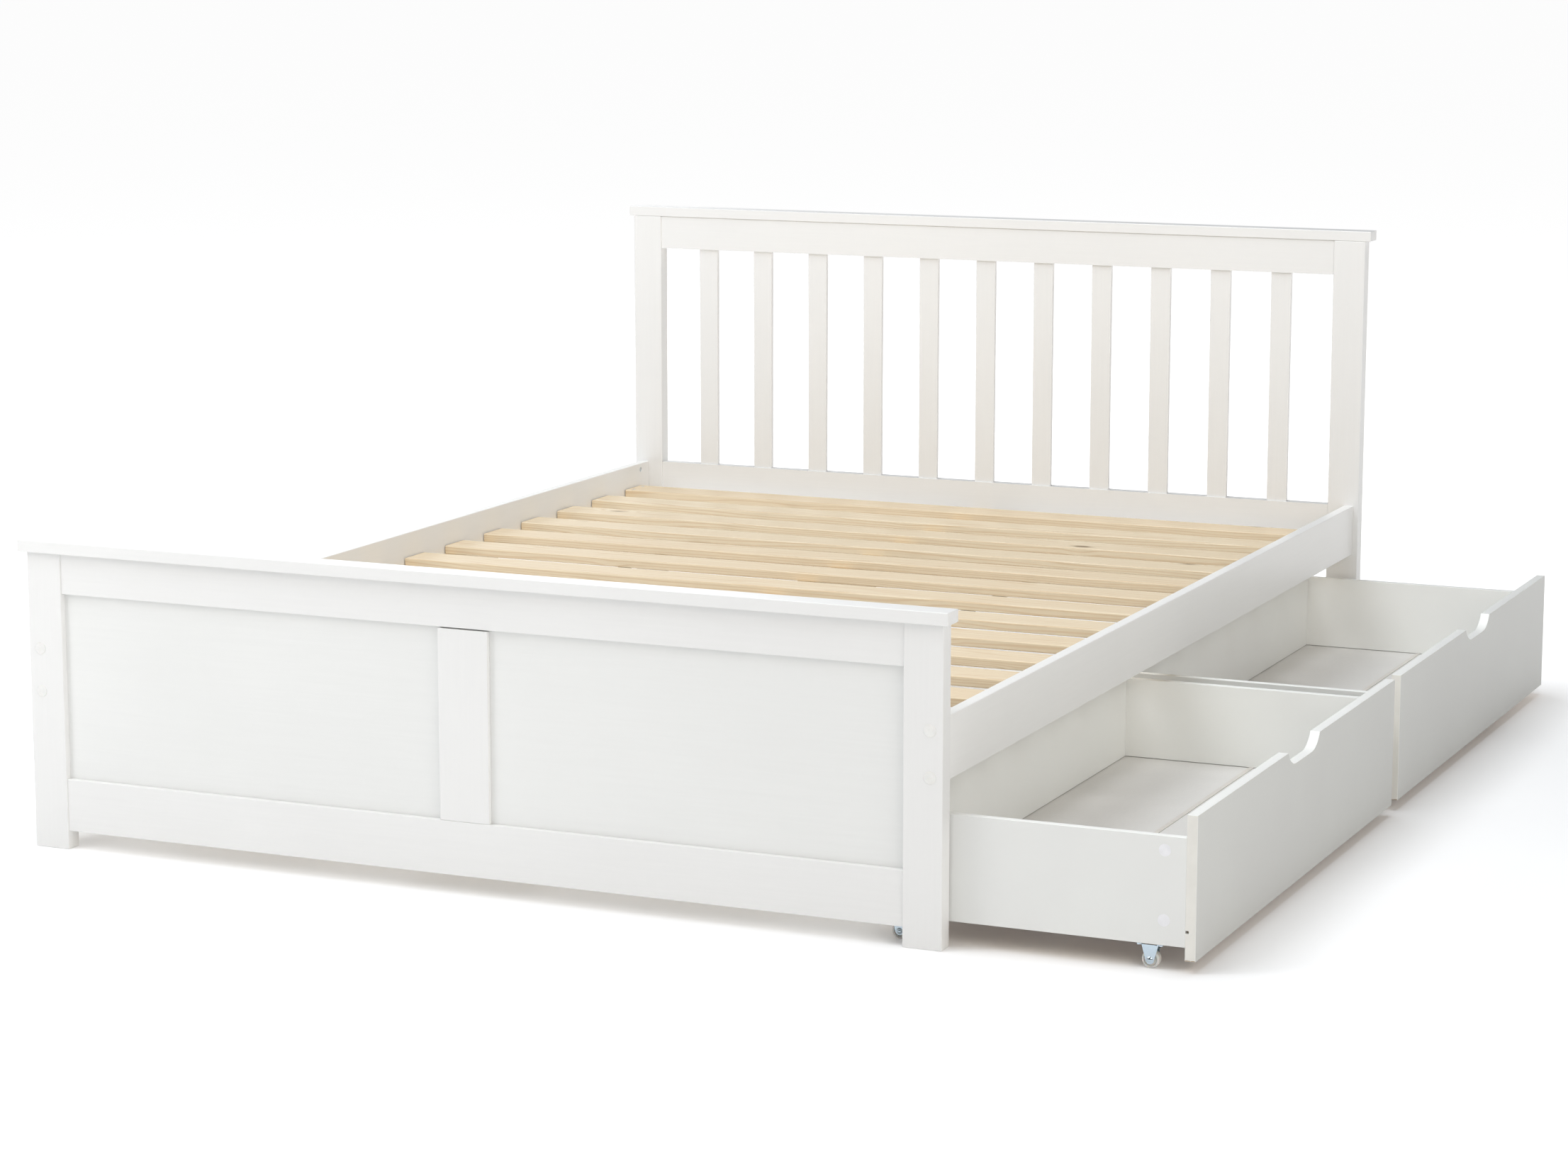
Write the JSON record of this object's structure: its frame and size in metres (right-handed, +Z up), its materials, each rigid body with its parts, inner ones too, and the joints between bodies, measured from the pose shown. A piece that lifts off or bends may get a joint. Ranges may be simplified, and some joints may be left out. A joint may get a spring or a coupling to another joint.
{
  "type": "wooden bed frame",
  "caption": "White painted wooden double bed frame with a panelled footboard, a slatted headboard, a slatted base and rolling underbed drawers.",
  "frame": {"origin": "on the floor, in the middle of the centre leg's foot", "axes": "+X to the side that the drawers open on, +Y from the footboard to the headboard, +Z up"},
  "size_m": [1.83, 2.106, 0.82],
  "materials": {
    "white_paint": "satin white paint over solid wood",
    "white_panel": "satin white paint over fibreboard",
    "white_board": "white foil over board, fine texture",
    "hdf_bottom": "pale grey lacquered hardboard",
    "pine": "planed bare pine",
    "slat_pine": "planed bare pine",
    "beech": "bare beech",
    "zinc_plate": "bright blue-white zinc plating",
    "zinc_fitting": "satin zinc plating",
    "bolt_steel": "zinc-plated steel",
    "nylon": "matt pale grey nylon",
    "plug_plastic": "satin white moulded plastic",
    "cover_disc": "satin white film with a cool cast",
    "joiner_plastic": "satin beige extruded plastic",
    "webbing": "woven polyester tape"
  },
  "bodies": {
    "frame": {"foot_post_left": "white_paint", "foot_post_right": "white_paint", "foot_cap": "white_paint", "foot_top_rail": "white_paint", "foot_bottom_rail": "white_paint", "foot_panel": "white_panel", "foot_stile": "white_paint", "foot_back_stile": "white_paint", "head_post_left": "white_paint", "head_post_right": "white_paint", "head_cap": "white_paint", "head_top_rail": "white_paint", "head_lower_rail": "white_paint", "head_slats": "white_paint", "side_rail_left": "white_paint", "side_rail_right": "white_paint", "slat_ledger_left": "pine", "slat_ledger_right": "pine", "centre_beam": "pine", "beam_brackets": "zinc_plate", "centre_leg": "pine", "bed_slats": "slat_pine", "slat_straps": "webbing", "corner_bolts": "bolt_steel", "barrel_nuts": "zinc_fitting", "bolt_plugs": "plug_plastic", "frame_dowels": "beech", "frame_screws": "zinc_fitting"},
    "near_drawer": {"near_front": "white_board", "near_side_foot": "white_board", "near_side_head": "white_board", "near_back": "white_board", "near_bottoms": "hdf_bottom", "near_joiner": "joiner_plastic", "near_cleats": "pine", "near_cams": "zinc_fitting", "near_cover_discs": "cover_disc", "near_screws": "zinc_fitting", "near_caster_brackets": "zinc_plate", "near_caster_axles": "zinc_plate"},
    "near_wheel_front_foot": {"near_wheel_front_foot": "nylon"},
    "near_wheel_front_head": {"near_wheel_front_head": "nylon"},
    "near_wheel_rear_foot": {"near_wheel_rear_foot": "nylon"},
    "near_wheel_rear_head": {"near_wheel_rear_head": "nylon"},
    "far_drawer": {"far_front": "white_board", "far_side_foot": "white_board", "far_side_head": "white_board", "far_back": "white_board", "far_bottoms": "hdf_bottom", "far_joiner": "joiner_plastic", "far_cleats": "pine", "far_cams": "zinc_fitting", "far_cover_discs": "cover_disc", "far_screws": "zinc_fitting", "far_caster_brackets": "zinc_plate", "far_caster_axles": "zinc_plate"},
    "far_wheel_front_foot": {"far_wheel_front_foot": "nylon"},
    "far_wheel_front_head": {"far_wheel_front_head": "nylon"},
    "far_wheel_rear_foot": {"far_wheel_rear_foot": "nylon"},
    "far_wheel_rear_head": {"far_wheel_rear_head": "nylon"}
  },
  "joints": [
    {"name": "near_drawer_slide", "type": "slide", "parent": "frame", "child": "near_drawer", "axis": [1, 0, 0], "range_m": [-0.36, 0.14]},
    {"name": "near_wheel_front_foot_roll", "type": "hinge", "parent": "near_drawer", "child": "near_wheel_front_foot", "pos_m": [1.02, -0.9995, 0.0125], "axis": [0, 1, 0], "continuous": true},
    {"name": "near_wheel_front_head_roll", "type": "hinge", "parent": "near_drawer", "child": "near_wheel_front_head", "pos_m": [1.02, -0.0345, 0.0125], "axis": [0, 1, 0], "continuous": true},
    {"name": "near_wheel_rear_foot_roll", "type": "hinge", "parent": "near_drawer", "child": "near_wheel_rear_foot", "pos_m": [0.659, -0.9995, 0.0125], "axis": [0, 1, 0], "continuous": true},
    {"name": "near_wheel_rear_head_roll", "type": "hinge", "parent": "near_drawer", "child": "near_wheel_rear_head", "pos_m": [0.659, -0.0345, 0.0125], "axis": [0, 1, 0], "continuous": true},
    {"name": "far_drawer_slide", "type": "slide", "parent": "frame", "child": "far_drawer", "axis": [1, 0, 0], "range_m": [-0.36, 0.14]},
    {"name": "far_wheel_front_foot_roll", "type": "hinge", "parent": "far_drawer", "child": "far_wheel_front_foot", "pos_m": [1.02, 0.0255, 0.0125], "axis": [0, 1, 0], "continuous": true},
    {"name": "far_wheel_front_head_roll", "type": "hinge", "parent": "far_drawer", "child": "far_wheel_front_head", "pos_m": [1.02, 0.9905, 0.0125], "axis": [0, 1, 0], "continuous": true},
    {"name": "far_wheel_rear_foot_roll", "type": "hinge", "parent": "far_drawer", "child": "far_wheel_rear_foot", "pos_m": [0.659, 0.0255, 0.0125], "axis": [0, 1, 0], "continuous": true},
    {"name": "far_wheel_rear_head_roll", "type": "hinge", "parent": "far_drawer", "child": "far_wheel_rear_head", "pos_m": [0.659, 0.9905, 0.0125], "axis": [0, 1, 0], "continuous": true}
  ],
  "couplings": [
    {"joint": "near_wheel_front_foot_roll", "follows": "near_drawer_slide", "rad_per_m": 80},
    {"joint": "near_wheel_front_head_roll", "follows": "near_drawer_slide", "rad_per_m": 80},
    {"joint": "near_wheel_rear_foot_roll", "follows": "near_drawer_slide", "rad_per_m": 80},
    {"joint": "near_wheel_rear_head_roll", "follows": "near_drawer_slide", "rad_per_m": 80},
    {"joint": "far_wheel_front_foot_roll", "follows": "far_drawer_slide", "rad_per_m": 80},
    {"joint": "far_wheel_front_head_roll", "follows": "far_drawer_slide", "rad_per_m": 80},
    {"joint": "far_wheel_rear_foot_roll", "follows": "far_drawer_slide", "rad_per_m": 80},
    {"joint": "far_wheel_rear_head_roll", "follows": "far_drawer_slide", "rad_per_m": 80}
  ]
}
